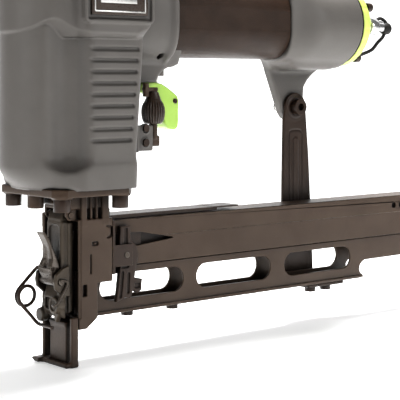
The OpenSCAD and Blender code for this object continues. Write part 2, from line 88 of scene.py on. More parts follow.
def make_camera():
    """Level, at the tool's front left and about two thirds of its height up; the shift lifts the frame's contents."""
    data = bpy.data.cameras.new("camera")
    data.sensor_width, data.lens, data.shift_y = 36.0, 114.75, -0.30
    data.clip_start, data.clip_end = 0.05, 60.0
    camera = bpy.data.objects.new("camera", data)
    camera.location = (-0.3946, -0.5846, 0.1555)
    camera.rotation_euler = (math.pi / 2, 0.0, math.radians(-40))
    scene.collection.objects.link(camera)
    scene.camera = camera


def area_light(name, place, target, size, power):
    data = bpy.data.lights.new(name, "AREA")
    data.shape, data.size, data.energy = "DISK", size, power
    light = bpy.data.objects.new(name, data)
    light.location = place
    light.rotation_euler = (Vector(target) - Vector(place)).to_track_quat("-Z", "Y").to_euler()
    scene.collection.objects.link(light)


def make_stage():
    """A pale sweep: a floor that curves up into a backdrop behind the tool."""
    mesh = bpy.data.meshes.new("sweep")
    built = bmesh.new()
    rows = []
    radius, run = 2.0, 6.0
    profile = [(-run, 0.0), (run, 0.0)]
    profile += [(run + radius * math.sin(a), radius * (1 - math.cos(a)))
                for a in [math.radians(10 * i) for i in range(1, 10)]]
    profile.append((run + radius, 8.0))
    for along, height in profile:
        rows.append([built.verts.new((side, along, height)) for side in (-9.0, 9.0)])
    for low, high in zip(rows, rows[1:]):
        built.faces.new((low[0], low[1], high[1], high[0]))
    built.to_mesh(mesh)
    floor = bpy.data.objects.new("sweep", mesh)
    floor.rotation_euler = (0, 0, math.radians(-40))
    floor.location = (0, 0, cad_box[0][2] - 0.0005)
    scene.collection.objects.link(floor)
    material = bpy.data.materials.new("sweep")
    material.use_nodes = True
    shader = material.node_tree.nodes["Principled BSDF"]
    shader.inputs["Base Color"].default_value = (0.9, 0.9, 0.895, 1)
    shader.inputs["Roughness"].default_value = 0.9
    shader.inputs["Emission Color"].default_value = (1, 1, 1, 1)
    nodes, links = material.node_tree.nodes, material.node_tree.links
    place = nodes.new("ShaderNodeTexCoord")
    split = nodes.new("ShaderNodeSeparateXYZ")
    links.new(place.outputs["Object"], split.inputs[0])
    links.new(ranged(nodes, links, split.outputs[1], 0.42, 1.1, 0.4, 2.6), shader.inputs["Emission Strength"])
    mesh.materials.append(material)


def make_light():
    world = bpy.data.worlds.new("studio")
    world.use_nodes = True
    world.node_tree.nodes["Background"].inputs[0].default_value = (1, 1, 1, 1)
    world.node_tree.nodes["Background"].inputs[1].default_value = 0.20
    scene.world = world
    middle = (0.08, 0, 0.13)
    area_light("top", (0.26, 0.10, 0.82), (0.20, 0.0, 0.18), 0.32, 20)
    area_light("left", (-1.5, 0.1, 0.6), middle, 0.5, 7)
    area_light("front", (0.7, -1.4, 0.6), middle, 0.5, 7.5)
    scene.view_settings.view_transform = "Standard"


# ---------------------------------------------------------------- materials

def new_shader(name):
    material = bpy.data.materials.new(name)
    material.use_nodes = True
    nodes, links = material.node_tree.nodes, material.node_tree.links
    return material, nodes, links, nodes["Principled BSDF"]


def noise(nodes, links, scale, detail=4.0, stretch=(1, 1, 1)):
    place = nodes.new("ShaderNodeTexCoord")
    mapping = nodes.new("ShaderNodeMapping")
    mapping.inputs["Scale"].default_value = stretch
    texture = nodes.new("ShaderNodeTexNoise")
    texture.inputs["Scale"].default_value = scale
    texture.inputs["Detail"].default_value = detail
    links.new(place.outputs["Object"], mapping.inputs["Vector"])
    links.new(mapping.outputs["Vector"], texture.inputs["Vector"])
    return texture.outputs["Fac"]


def ranged(nodes, links, value, low, high, start=0.3, end=0.7):
    node = nodes.new("ShaderNodeMapRange")
    node.inputs["From Min"].default_value, node.inputs["From Max"].default_value = start, end
    node.inputs["To Min"].default_value, node.inputs["To Max"].default_value = low, high
    links.new(value, node.inputs["Value"])
    return node.outputs["Result"]


def blended(nodes, links, factor, first, second):
    node = nodes.new("ShaderNodeMix")
    node.data_type = "RGBA"
    links.new(factor, node.inputs["Factor"])
    for socket, value in ((node.inputs[6], first), (node.inputs[7], second)):
        if isinstance(value, tuple):
            socket.default_value = (*value, 1)
        else:
            links.new(value, socket)
    return node.outputs[2]


def edge_mask(nodes, links, radius):
    """1 along sharp edges, 0 on flats: where the bevelled normal leaves the true one."""
    bevel = nodes.new("ShaderNodeBevel")
    bevel.samples = 4
    bevel.inputs["Radius"].default_value = radius
    true = nodes.new("ShaderNodeNewGeometry")
    dot = nodes.new("ShaderNodeVectorMath")
    dot.operation = "DOT_PRODUCT"
    links.new(bevel.outputs["Normal"], dot.inputs[0])
    links.new(true.outputs["Normal"], dot.inputs[1])
    return ranged(nodes, links, dot.outputs["Value"], 1.0, 0.0, 0.80, 0.97)


def finish_material(name, base, second, rough, metal=0.0, grain=900, bump=0.05, patch=60, edge_wear_and_highlight=None,
                    edge_wear_and_highlight_amount=0.0, stretch=(1, 1, 1), specular=0.5, recess_shade=0.45, reach=0.012):
    """A surface with patchy colour, varied gloss, fine grain, where given edges lightened partly as worn metal and
    partly as a painted highlight, and painted shade darkening its recesses.
    """
    material, nodes, links, shader = new_shader(name)
    patches = ranged(nodes, links, noise(nodes, links, patch, 5.0), 0.0, 1.0)
    fine = noise(nodes, links, grain, 3.0, stretch)
    colour = blended(nodes, links, patches, base, second)
    # edges lightened in broken patches: partly real wear, partly a painted highlight along the edges
    if edge_wear_and_highlight is not None:
        edges = edge_mask(nodes, links, 0.0006)
        broken = nodes.new("ShaderNodeMath")
        broken.operation = "MULTIPLY"
        links.new(edges, broken.inputs[0])
        links.new(ranged(nodes, links, noise(nodes, links, 260, 4.0), 0.0, edge_wear_and_highlight_amount, 0.35, 0.6),
                  broken.inputs[1])
        colour = blended(nodes, links, broken.outputs[0], colour, edge_wear_and_highlight)
    # painted shade: ambient occlusion darkens recesses, creases and hollows towards 0.12 of the base colour
    hidden = nodes.new("ShaderNodeAmbientOcclusion")
    hidden.samples = 6
    hidden.inputs["Distance"].default_value = reach
    links.new(colour, hidden.inputs["Color"])
    shade = ranged(nodes, links, hidden.outputs["AO"], 1.0, 0.0, 0.4, 0.98)
    dim = nodes.new("ShaderNodeMath")
    dim.operation = "MULTIPLY"
    dim.inputs[1].default_value = recess_shade
    links.new(shade, dim.inputs[0])
    colour = blended(nodes, links, dim.outputs[0], colour, tuple(0.12 * c for c in base))
    links.new(colour, shader.inputs["Base Color"])
    links.new(ranged(nodes, links, fine, rough - 0.06, rough + 0.08), shader.inputs["Roughness"])
    height = nodes.new("ShaderNodeBump")
    height.inputs["Strength"].default_value = bump
    height.inputs["Distance"].default_value = 0.0004
    links.new(fine, height.inputs["Height"])
    links.new(height.outputs["Normal"], shader.inputs["Normal"])
    shader.inputs["Metallic"].default_value = metal
    shader.inputs["Specular IOR Level"].default_value = specular
    return material


def make_materials():
    # The lighter edge colours stand for worn edges and also for painted highlights along those edges.
    return {
        # The last arguments set how strongly and how far out painted shade darkens each material's recesses; the body's
        # reaches 35 mm to shade its broad valley.
        "body_paint": finish_material("body_paint", (0.086, 0.078, 0.071), (0.098, 0.089, 0.081), 0.46,
                                      grain=1400, bump=0.10, edge_wear_and_highlight=(0.26, 0.25, 0.23), edge_wear_and_highlight_amount=0.5, specular=0.32,
                                      recess_shade=0.85, reach=0.035),
        "grip_rubber": finish_material("grip_rubber", (0.016, 0.007, 0.003), (0.026, 0.013, 0.007), 0.42,
                                       grain=1900, bump=0.75, patch=90, specular=0.16),
        "lime_plastic": finish_material("lime_plastic", (0.36, 0.60, 0.08), (0.40, 0.64, 0.10), 0.32,
                                        grain=1600, bump=0.10, patch=120, recess_shade=0.4),
        "black_plastic": finish_material("black_plastic", (0.022, 0.012, 0.007), (0.034, 0.021, 0.014), 0.30,
                                         grain=1700, bump=0.2, specular=0.35),
        "black_rubber": finish_material("black_rubber", (0.006, 0.005, 0.004), (0.012, 0.010, 0.009), 0.5,
                                        grain=1500, bump=0.3, specular=0.2),
        "dark_steel": finish_material("dark_steel", (0.038, 0.022, 0.013), (0.054, 0.034, 0.022), 0.40,
                                      metal=0.1, grain=700, bump=0.16, patch=45, edge_wear_and_highlight=(0.20, 0.15, 0.11),
                                      edge_wear_and_highlight_amount=0.8, specular=0.2, recess_shade=0.95),
        "black_steel": finish_material("black_steel", (0.018, 0.009, 0.005), (0.030, 0.017, 0.011), 0.36,
                                       metal=0.1, grain=900, bump=0.15, edge_wear_and_highlight=(0.13, 0.09, 0.065),
                                       edge_wear_and_highlight_amount=0.7, specular=0.2, recess_shade=0.9),
        "door_steel": finish_material("door_steel", (0.030, 0.020, 0.012), (0.058, 0.044, 0.030), 0.36,
                                      metal=0.2, grain=800, bump=0.16, edge_wear_and_highlight=(0.22, 0.18, 0.13),
                                      edge_wear_and_highlight_amount=0.9, specular=0.25, recess_shade=0.95),
        "lever_steel": finish_material("lever_steel", (0.036, 0.025, 0.017), (0.066, 0.052, 0.040), 0.30,
                                       metal=0.4, grain=900, bump=0.15, edge_wear_and_highlight=(0.36, 0.32, 0.27),
                                       edge_wear_and_highlight_amount=0.95, specular=0.35, recess_shade=0.9),
        "bright_steel": finish_material("bright_steel", (0.55, 0.54, 0.52), (0.64, 0.63, 0.61), 0.28,
                                        metal=1.0, grain=500, bump=0.08, stretch=(1, 1, 14)),
        "plug_chrome": finish_material("plug_chrome", (0.62, 0.62, 0.63), (0.74, 0.74, 0.74), 0.16,
                                       metal=1.0, grain=400, bump=0.03),
        "piston_alloy": finish_material("piston_alloy", (0.66, 0.66, 0.66), (0.72, 0.72, 0.72), 0.34,
                                        metal=1.0, grain=700, bump=0.08, stretch=(1, 1, 12)),
    }


# ---------------------------------------------------------------- shaping solid pieces from distance fields

def merge(a, b, k):
    h = np.clip(0.5 + 0.5 * (b - a) / k, 0, 1)
    return b + (a - b) * h - k * h * (1 - h)


def common(a, b, k=0.6):
    return -merge(-a, -b, k)


def cut(a, tool, k=0.6):
    return common(a, -tool, k)


def span(v, low, high):
    return np.maximum(low - v, v - high)


def box2(a, b, a0, a1, b0, b1, r):
    """Rounded rectangle in two of the axes."""
    qa = np.abs(a - (a0 + a1) / 2) - (a1 - a0) / 2 + r
    qb = np.abs(b - (b0 + b1) / 2) - (b1 - b0) / 2 + r
    return np.hypot(np.maximum(qa, 0), np.maximum(qb, 0)) + np.minimum(np.maximum(qa, qb), 0) - r


def box3(x, y, z, lo, hi, r):
    q = [np.abs(v - (a + b) / 2) - (b - a) / 2 + r for v, a, b in zip((x, y, z), lo, hi)]
    out = np.sqrt(sum(np.maximum(v, 0) ** 2 for v in q))
    return out + np.minimum(np.maximum(np.maximum(q[0], q[1]), q[2]), 0) - r


def rod(x, y, z, a, b, r):
    """Round-ended rod between two points."""
    a, b = np.array(a, float), np.array(b, float)
    d = b - a
    t = np.clip(((x - a[0]) * d[0] + (y - a[1]) * d[1] + (z - a[2]) * d[2]) / d.dot(d), 0, 1)
    return np.sqrt((x - a[0] - t * d[0]) ** 2 + (y - a[1] - t * d[1]) ** 2 + (z - a[2] - t * d[2]) ** 2) - r


def outline(u, v, points):
    """Signed distance to a closed outline in two of the axes."""
    best, inside = None, None
    for (u0, v0), (u1, v1) in zip(points, points[1:] + points[:1]):
        du, dv = u1 - u0, v1 - v0
        t = np.clip(((u - u0) * du + (v - v0) * dv) / (du * du + dv * dv), 0, 1)
        d = (u - u0 - t * du) ** 2 + (v - v0 - t * dv) ** 2
        best = d if best is None else np.minimum(best, d)
        crosses = ((v0 > v) != (v1 > v)) & (u < du * (v - v0) / (dv if dv else 1e-9) + u0)
        inside = crosses if inside is None else inside ^ crosses
    return np.where(inside, -1.0, 1.0) * np.sqrt(best)


def edge_crossings(d, cells, step):
    """The mean of the points where the field crosses zero on the edges of each cell."""
    total, count = np.zeros((len(cells), 3)), np.zeros(len(cells))
    corners = [(i, j, k) for i in (0, 1) for j in (0, 1) for k in (0, 1)]
    value = {c: d[cells[:, 0] + c[0], cells[:, 1] + c[1], cells[:, 2] + c[2]] for c in corners}
    for a in corners:
        for axis in range(3):
            if a[axis]:
                continue
            b = tuple(1 if i == axis else a[i] for i in range(3))
            hit = (value[a] < 0) != (value[b] < 0)
            t = np.where(hit, value[a] / np.where(hit, value[a] - value[b], 1), 0)
            point = np.tile(np.array(a, float), (len(cells), 1))
            point[:, axis] += t
            total += point * hit[:, None]
            count += hit
    return total / count[:, None]


def solid(name, field, lo, hi, step, slot, body, nodes=()):
    """Meshes field < 0 inside the box lo..hi (mm) as quads, then pulls the points onto the surface."""
    lo = np.array(lo, float)
    axes = [np.arange(lo[i] - step, hi[i] + 2 * step, step) for i in range(3)]
    grid = np.meshgrid(*axes, indexing="ij", sparse=True)
    d = np.broadcast_to(field(*grid), [len(a) for a in axes]).astype(float)
    inside = d < 0
    count = sum(inside[i:inside.shape[0] - 1 + i, j:inside.shape[1] - 1 + j, k:inside.shape[2] - 1 + k].astype(int)
                for i in (0, 1) for j in (0, 1) for k in (0, 1))
    active = (count > 0) & (count < 8)
    cells = np.argwhere(active)
    index = np.full(active.shape, -1)
    index[tuple(cells.T)] = np.arange(len(cells))
    points = (cells + edge_crossings(d, cells, step)) * step + (lo - step)
    for _ in range(3):
        x, y, z = points.T
        here, e = field(x, y, z), 0.05
        slope = np.stack([field(x + e, y, z) - here, field(x, y + e, z) - here, field(x, y, z + e) - here], 1) / e
        move = -here[:, None] * slope / np.maximum((slope ** 2).sum(1), 0.05)[:, None]
        points += np.clip(move, -0.3 * step, 0.3 * step)
    faces = []
    for axis in range(3):
        u, v = (axis + 1) % 3, (axis + 2) % 3
        low = [slice(1, n - 1) for n in inside.shape]
        low[axis] = slice(0, inside.shape[axis] - 1)
        high = list(low)
        high[axis] = slice(1, inside.shape[axis])
        first, second = inside[tuple(low)], inside[tuple(high)]
        where = np.argwhere(first != second)
        start = np.array([s.start for s in low])
        base = where + start
        ring = []
        for du, dv in ((-1, -1), (0, -1), (0, 0), (-1, 0)):
            c = base.copy()
            c[:, u] += du
            c[:, v] += dv
            ring.append(index[tuple(c.T)])
        ring = np.stack(ring, 1)
        flip = ~first[tuple(where.T)]
        ring[flip] = ring[flip][:, ::-1]
        faces.append(ring)
    faces = np.concatenate(faces)
    mesh = bpy.data.meshes.new(name)
    mesh.from_pydata((points * MM).tolist(), [], faces.tolist())
    mesh.polygons.foreach_set("use_smooth", np.ones(len(mesh.polygons), bool))
    mesh.update()
    return attach(bpy.data.objects.new(name, mesh), slot, body, nodes)


def attach(piece, slot, body, nodes=(), look=None):
    """Links a piece, gives it the slot's material and ties it to its body and to the nodes it stands for."""
    scene.collection.objects.link(piece)
    piece.data.materials.append(look or LOOKS[slot])
    if body:
        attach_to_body(piece, body)
    if nodes:
        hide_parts(*nodes)
    return piece


# ---------------------------------------------------------------- the body casting

ARM_X, ARM_Z = 186, 138          # bolt that holds the rear arm to the lug
LATCH_X, LATCH_Z = -10.5, 46.5   # pin of the nose door's lever
BOLT_X, BOLT_Y = 19, 24          # screws up through the nose plate
CAP_SCREW_R = 24.1               # circle of the end cap's screws
BODY_Z, BELT_Z, HEAD_Z = 98.0, 178.5, 212.0
HANDLE_Z = 191.5
GRIP_FRONT, GRIP_REAR, CAP_X = 64.0, 153.0, 210.0


def handle_shape(x, y, z):
    """Neck, the core under the grip, and the housing that swells to the end cap."""
    swell = np.clip((x - GRIP_REAR) / 24.0, 0, 1)
    swell = swell * swell * (3 - 2 * swell)
    half_w, half_h = 20.0 + 7.0 * swell, 24.0 + 3.0 * swell
    power = 3.2 - 1.2 * swell
    rear = ((np.abs(y) / half_w) ** power + (np.abs(z - HANDLE_Z) / half_h) ** power) ** (1 / power) - 1
    rear = common(rear * 22.0, span(x, GRIP_REAR + 0.3, CAP_X), 1.2)
    core = common(box2(y, z, -15, 15, HANDLE_Z - 19, HANDLE_Z + 19, 13), span(x, 40, GRIP_REAR + 6))
    flare = 1.6 * np.exp(-((x - 60.5) / 3.0) ** 2) - 1.2 * np.clip((x - 62.5) / 1.5, 0, 1)
    neck = ((np.abs(y) / 21.0) ** 2.8 + (np.abs(z - HANDLE_Z) / 25.0) ** 2.8) ** (1 / 2.8) - 1
    neck = common(neck * 22.0 - flare, span(x, 20, GRIP_FRONT - 1.2), 0.8)
    return merge(np.minimum(rear, core), neck, 0.4)


def web_shape(x, y, z):
    edge = [(20, 154), (55.5, 154), (57.5, 157.5), (60.5, 160.6), (64.5, 162.6), (69, 163.2), (72, 164.6),
            (72, 176), (20, 190)]
    return common(outline(x, z, edge), np.abs(y) - 9.5 - 5 * np.clip((z - 164) / 12, 0, 1), 2.0)


def rear_lug(x, y, z):
    ear = [(164.8, 178), (164.8, 167), (166, 161), (175.2, 138.6), (177.2, 134), (180, 130.6), (184, 129.2),
           (191.5, 130.6), (195, 136), (196.5, 151), (200, 155.6), (206, 160.6), (209.8, 164), (209.8, 178)]
    lug = common(outline(x, z, ear), span(y, 12.9, 20), 2.0)
    root = [(165, 178), (166.5, 167), (171, 164), (200, 164), (206, 166), (209, 171), (209, 178)]
    lug = merge(lug, common(outline(x, z, root), span(y, -6, 16), 4), 5)
    return common(lug, x - CAP_X + 1.5, 1)


def cooling_slits(x, y, z, shape):
    """Nine grooves a side; each one down the stack starts a little further forward, along the taper."""
    for i in range(9):
        level = 123 + 6.15 * i
        shift = -5.2 * (8 - i) / 8
        for side in (-1, 1):
            slit = common(box2(x - shift, z, -8.5, 26.2, level - 0.95, level + 0.95, 0.9),
                          31.0 + 0.5 * (level - z) - side * y, 0.3)
            shape = cut(shape, slit, 0.5)
    return shape


def body_field(x, y, z):
    taper = 0.075 * (z - 138)
    lobe = np.hypot(x + 9.6, y) - 28.4
    tuck = 9 * np.clip((BODY_Z + 12 - z) / 12, 0, 1) ** 2.2
    lobe = lobe + tuck * np.clip((-x - 2) / 12, 0, 1)
    block = box2(x - 0.5 * taper, y, -13 - 0.5 * taper, 28 + 0.5 * taper, -32.2, 32.2, 5)
    lower = merge(lobe, block, 1.0)
    fade = np.clip((116 - z) / 16, 0, 1)
    fade = fade * fade * (3 - 2 * fade)
    lower = cut(lower, np.hypot(x + 19.5, np.abs(y) - 34.5) - 13.0 + 5.6 * fade, 5)
    lower = common(lower, span(z, BODY_Z, BELT_Z + 6), 1.0)
    rim = box2(x, y, -24.8, 25.4, -30.8, 30.8, 9)
    lower = merge(lower, common(rim, span(z, BODY_Z, BODY_Z + 8.5), 2.5), 9)
    lower = merge(lower, box3(x, y, z, (18, -27, 115), (27.9, -15, 131), 1), 2)
    head = merge(np.hypot(x + 8, y) - 30.9, box2(x, y, -13.5, 35, -36, 36, 8), 1.8)
    head = cut(head, np.hypot(x + 20.5, np.abs(y) - 37.5) - 8.0, 4)
    slope = 2.2 + 7.0 * np.exp(-(((x + 25) / 9) ** 2)) + 14 * np.clip((x - 22) / 26, 0, 1) ** 1.3
    head = common(head, (head + BELT_Z + slope - z) / 1.3, 0.5)
    head = common(head, span(z, BELT_Z - 0.5, HEAD_Z), 0.5)
    shape = merge(lower, head, 0.8)
    shape = merge(shape, handle_shape(x, y, z), 6)
    shape = np.where(x > 56, handle_shape(x, y, z), shape)
    shape = merge(shape, web_shape(x, y, z), 3)
    shape = np.where(x > 150, merge(handle_shape(x, y, z), rear_lug(x, y, z), 8), shape)
    shape = cooling_slits(x, y, z, shape)
    frame = common(np.abs(box2(x, z, -11.3, 32.3, 186.6, 215, 2.0)) - 0.9, span(np.abs(y), 30, 36.4), 0.6)
    shape = merge(shape, common(frame, z - HEAD_Z, 0.5), 0.6)
    shape = cut(shape, box3(x, y, z, (-10, -40, 188), (31, -34.7, 216), 1), 0.5)
    shape = cut(shape, common(np.hypot(x, y) - 25.2, BODY_Z - 1 - z), 0.3)
    shape = cut(shape, common(np.hypot(x, y) - 28.2, 184 - z), 0.3)
    shape = cut(shape, box3(x, y, z, (45.5, -6.6, 148), (66.5, 6.6, 158.3), 0.6), 0.5)
    shape = cut(shape, common(np.hypot(x - 62, y) - 5.55, span(z, 150, 178)), 0.3)
    shape = cut(shape, common(np.hypot(x - 54.9, z - 169.2) - 1.6, np.abs(y) - 18), 0.3)
    return cut(shape, common(np.hypot(x - ARM_X, z - ARM_Z) - 3.1, -y), 0.3)


def top_cap_field(x, y, z):
    rim = merge(np.hypot(x + 8, y) - 30.9, box2(x, y, -13.5, 35, -36, 36, 8), 1.8)
    rim = cut(rim, np.hypot(x + 20.5, np.abs(y) - 36.5) - 8.0, 4)
    cap = common(rim, span(z, HEAD_Z + 1, HEAD_Z + 9), 2.0)
    dome = common(np.hypot(x, y) - 29.5, span(z, HEAD_Z + 2, HEAD_Z + 15), 3)
    cap = merge(cap, dome, 3)
    for px, py in ((-27, 17), (27, 26)):
        hole = common(np.hypot(x - px, np.abs(y) - py) - 4.7, HEAD_Z + 9.0 - z, 0.4)
        cap = cut(cap, hole, 0.5)
        cap = merge(cap, common(np.hypot(x - px, np.abs(y) - py) - 5.6, span(z, HEAD_Z + 1, HEAD_Z + 8.9), 0.6), 1.5)
        cap = cut(cap, common(np.hypot(x - px, np.abs(y) - py) - 2.0, span(z, 200, 230), 0.3), 0.3)
    cap = cut(cap, common(np.hypot(x, y) - 26.2, z - HEAD_Z - 11), 0.4)
    return cut(cap, np.hypot(x, y) - 2.0, 0.3)


def make_body():
    fine = 0.8
    solid("body_casting", body_field, (-39, -37, 97.5), (211, 37, 213), fine, "body_paint", "housing",
          ["main_body"])
    solid("head_cap", top_cap_field, (-39, -37, 212.5), (36, 37, 227.5), fine, "body_paint", "housing",
          ["top_cap"])


# ---------------------------------------------------------------- nose, door, latch and foot

def nose_field(x, y, z):
    plate = common(outline(x, y, [(-20, -31), (20, -31), (26, -25), (26, 25), (20, 31), (-20, 31), (-26, 25),
                                  (-26, -25)]), span(z, 93.5, 98), 0.8)
    neck = box3(x, y, z, (-7.5, -12, 85), (18, 10.8, 94.5), 1.2)
    block = common(outline(x, z, [(-1.2, 20), (4, 20), (9.5, 24), (11.3, 25.5), (11.3, 44.4), (21.4, 44.4),
                                  (21.4, 79.5), (-1.2, 79.5)]), span(y, -14, 10.8), 0.7)
    d = merge(merge(plate, neck, 1.5), block, 0.8)
    for x0, x1, y0, top in ((0.6, 4.2, -14, 94), (6.6, 8.2, -13.4, 94), (10.4, 12, -13.4, 94), (14.4, 19, -14, 94)):
        d = merge(d, box3(x, y, z, (x0, y0, 76), (x1, -8, top), 0.6), 0.8)
    for px, py in ((-19, 24), (19, 24)):
        d = merge(d, common(np.hypot(x - px, np.abs(y) - py) - 5.6, span(z, 92.6, 95), 0.5), 0.8)
    d = merge(d, common(np.hypot(x + 20, y) - 4.4, span(z, 86.3, 94), 0.8), 0.6)
    d = cut(d, np.hypot(np.hypot(x + 20, y), z - 86) - 2.4, 0.4)
    d = merge(d, box3(x, y, z, (-14, -9, 88), (-7, 7, 94.5), 1.2), 1.5)
    d = merge(d, box3(x, y, z, (-1.2, -9, 3), (2, 8, 22), 0.6), 0.5)
    lip = outline(x, z, [(-1.2, 24.5), (-6.2, 24), (-6.2, 22.4), (-5.6, 21), (-5.6, 1.4), (-1.0, 1.4)])
    d = merge(d, common(lip, np.abs(y) - 7.8, 0.5), 0.4)
    for y0 in (-10.8, 9.3):
        ear = common(outline(x, z, [(-5.6, 79.2), (-1.0, 79.2), (-1.0, 87), (-7.4, 87), (-7.4, 81.5)]),
                     span(y, y0, y0 + 1.5), 0.4)
        d = np.minimum(d, cut(ear, np.hypot(x + 4.5, z - 82.2) - 1.6, 0.2))
    hollow = box3(x, y, z, (-3, -12.4, 27), (0.9, -6.2, 79), 0.4)
    d = cut(d, hollow, 0.4)
    d = cut(d, box3(x, y, z, (-3, 6.2, 27), (0.9, 9.6, 79), 0.4), 0.4)
    d = cut(d, box3(x, y, z, (-1.4, -5.8, 4), (0.9, 5.8, 100), 0.1), 0.2)
    d = cut(d, box3(x, y, z, (0.8, -7.05, 25), (22, 7.05, 50.9), 0.1), 0.2)
    d = cut(d, box3(x, y, z, (0.8, -9.5, 50.6), (22, 9.5, 78), 0.1), 0.2)
    near = span(y, -15, -12.9)
    moon = cut(np.hypot(x - 18.4, z - 72) - 3.6, np.hypot(x - 17.0, z - 72) - 3.0, 0.2)
    d = cut(d, common(moon, near, 0.2), 0.3)
    mark = cut(box2(x, z, 7.4, 11.6, 64.9, 67.3, 0.9), box2(x, z, 8.3, 10.2, 65.7, 66.5, 0.3), 0.2)
    d = cut(d, common(mark, near, 0.2), 0.25)
    d = cut(d, common(box2(x, z, 6.2, 7.1, 49.5, 60.5, 0.4), near, 0.2), 0.25)
    d = cut(d, common(box2(x, z, 1.4, 4.1, 37.8, 44.2, 0.4), span(y, -15, -11), 0.2), 0.3)
    d = cut(d, common(box2(x, z, -3, 0.3, 26, 80, 0.2), span(y, -15, -13.5), 0.2), 0.3)
    return cut(d, np.hypot(np.abs(x) - BOLT_X, np.abs(y) - BOLT_Y) - 2.6, 0.2)


def door_field(x, y, z):
    slab = box3(x, y, z, (-8, -7.4, 28), (-1.4, 7.4, 78.5), 1.2)
    top = common(outline(x, z, [(-8, 60), (-1.4, 60), (-1.4, 79), (-3, 84.2), (-6, 84.2), (-8, 80)]),
                 np.abs(y) - 6.6, 0.9)
    d = merge(slab, top, 0.8)
    d = merge(d, common(np.abs(y) - 9, box3(x, y, z, (-4.6, -9, 29), (-1.6, 9, 78), 0.8), 0.5), 0.8)
    panel = box2(y, z, -4.9, 4.9, 58, 76.5, 3.4)
    d = cut(d, common(panel, x + 7.3, 0.4), 0.6)
    for y0, y1 in ((-10.3, -7.8), (7.8, 10.3)):
        cheek = outline(x, z, [(-7, 38.5), (-9.5, 39), (-13.6, 42.6), (-14.2, 46.5), (-13.4, 50.5), (-9.5, 53.5),
                               (-5, 55), (-4, 38)])
        d = merge(d, common(cheek, span(y, y0, y1), 0.8), 0.6)
    skirt = outline(x, z, [(-7.4, 52), (-9.4, 45), (-11.2, 38), (-11.5, 32), (-10, 28), (-7.2, 26.2), (-6.8, 52)])
    d = merge(d, common(skirt, span(y, -10.2, 5.5), 1.2), 0.8)
    boss = common(np.hypot(y + 6.6, z - 33.8) - 4.6, span(x, -13.2, -8), 0.7)
    d = merge(d, boss, 0.7)
    d = cut(d, common(np.hypot(y + 6.6, z - 33.8) - 2.9, x + 12.5, 0.3), 0.3)
    tail = outline(y, z, [(-10.4, 34), (-8.6, 27.5), (-6.6, 24.2), (-4.6, 27), (-3, 34)])
    d = merge(d, common(tail, span(x, -11.4, -8.6), 0.8), 0.6)
    hook = common(np.hypot(y - 8.3, z - 26.8) - 3.8, span(x, -12.4, -8), 1.0)
    hook = merge(hook, box3(x, y, z, (-10.5, 4.5, 26), (-7.4, 9, 34), 1), 1.5)
    d = merge(d, hook, 1)
    d = cut(d, common(box2(y, z, -2.2, 4.2, 31, 37, 1), x + 9.6, 0.3), 0.6)
    d = cut(d, np.hypot(x + 4.5, z - 82.2) - 1.56, 0.2)
    d = cut(d, common(np.hypot(x - LATCH_X, z - LATCH_Z) - 1.7, np.abs(y) - 12), 0.2)
    return cut(d, box3(x, y, z, (-2.4, -4, 30), (-0.5, 4, 76), 0.3), 0.3)


def latch_field(x, y, z):
    side = outline(x, z, [(-8.4, 45.2), (-8.1, 47.5), (-8.3, 52), (-8.8, 56), (-9.8, 61), (-11.2, 65.2), (-13.2, 69.2),
                          (-15.6, 72.9), (-17.2, 73.4), (-17.0, 72.0), (-15.4, 69.4), (-13.8, 66.2), (-12.8, 62.5),
                          (-12.7, 58.5), (-13.8, 55.8), (-14.5, 53.2), (-13.9, 50.6), (-13.0, 48), (-12.9, 45.8),
                          (-11.4, 44.2)])
    half = 7.0 - 1.8 * np.clip((54 - z) / 6, 0, 1) - 3.4 * np.clip((z - 52) / 12, 0, 1)
    d = common(side, np.abs(y) - half, 0.8)
    back = outline(x, z, [(-7.9, 50), (-9.4, 57), (-11.4, 64.5), (-6, 64.5), (-4, 50)])
    d = cut(d, common(back, np.abs(y) - 2.6, 0.5), 0.8)
    d = cut(d, rod(x, y, z, (-15.4, 0, 64), (-14.2, 0, 56), 2.0), 1.2)
    d = merge(d, common(np.hypot(x - LATCH_X, z - LATCH_Z) - 2.4, np.abs(y) - 7.5, 0.4), 0.8)
    d = cut(d, np.hypot(x - LATCH_X, z - LATCH_Z) - 1.65, 0.2)
    return cut(d, np.hypot(x + 12.9, z - 53.2) - 1.15, 0.2)


def foot_field(x, y, z):
    d = box3(x, y, z, (-5.8, -14, 0.2), (-1.5, -11.5, 27), 0.7)
    d = merge(d, box3(x, y, z, (-7, 11.5, 0.2), (-1.6, 14, 82), 0.7), 0.4)
    strip = box3(x, y, z, (-9.4, -13.6, 0), (-1.5, 14, 2.6), 0.9)
    d = merge(d, strip, 1.6)
    tip = common(outline(y, z, [(10, 0.1), (10, 2.7), (15.5, 2.7), (17, 2.1), (17, 1.4), (14, 0.1)]),
                 span(x, -11.8, -4.6), 0.6)
    d = merge(d, tip, 0.8)
    d = cut(d, box3(x, y, z, (-6.5, -11.2, -1), (0, 8.4, 5), 0.4), 0.4)
    d = merge(d, box3(x, y, z, (-7, 11.5, 74), (36, 14, 82), 0.7), 0.5)
    d = merge(d, box3(x, y, z, (30.5, 11.5, 74), (36, 14, 124), 0.7), 0.5)
    d = merge(d, box3(x, y, z, (30.5, -16, 118), (36, 14, 124), 0.7), 0.5)
    d = merge(d, box3(x, y, z, (30.5, -16, 118), (53, -12, 124), 0.9), 0.5)
    d = merge(d, common(np.hypot(x - 49.5, y + 14) - 2.45, span(z, 122, 150), 0.4), 0.4)
    d = merge(d, box3(x, y, z, (42.5, -15.8, 149.2), (52, -12.2, 151.4), 0.7), 0.5)
    return merge(d, common(np.hypot(x - 44.3, y + 14) - 1.8, span(z, 146, 153.8), 0.6), 0.4)


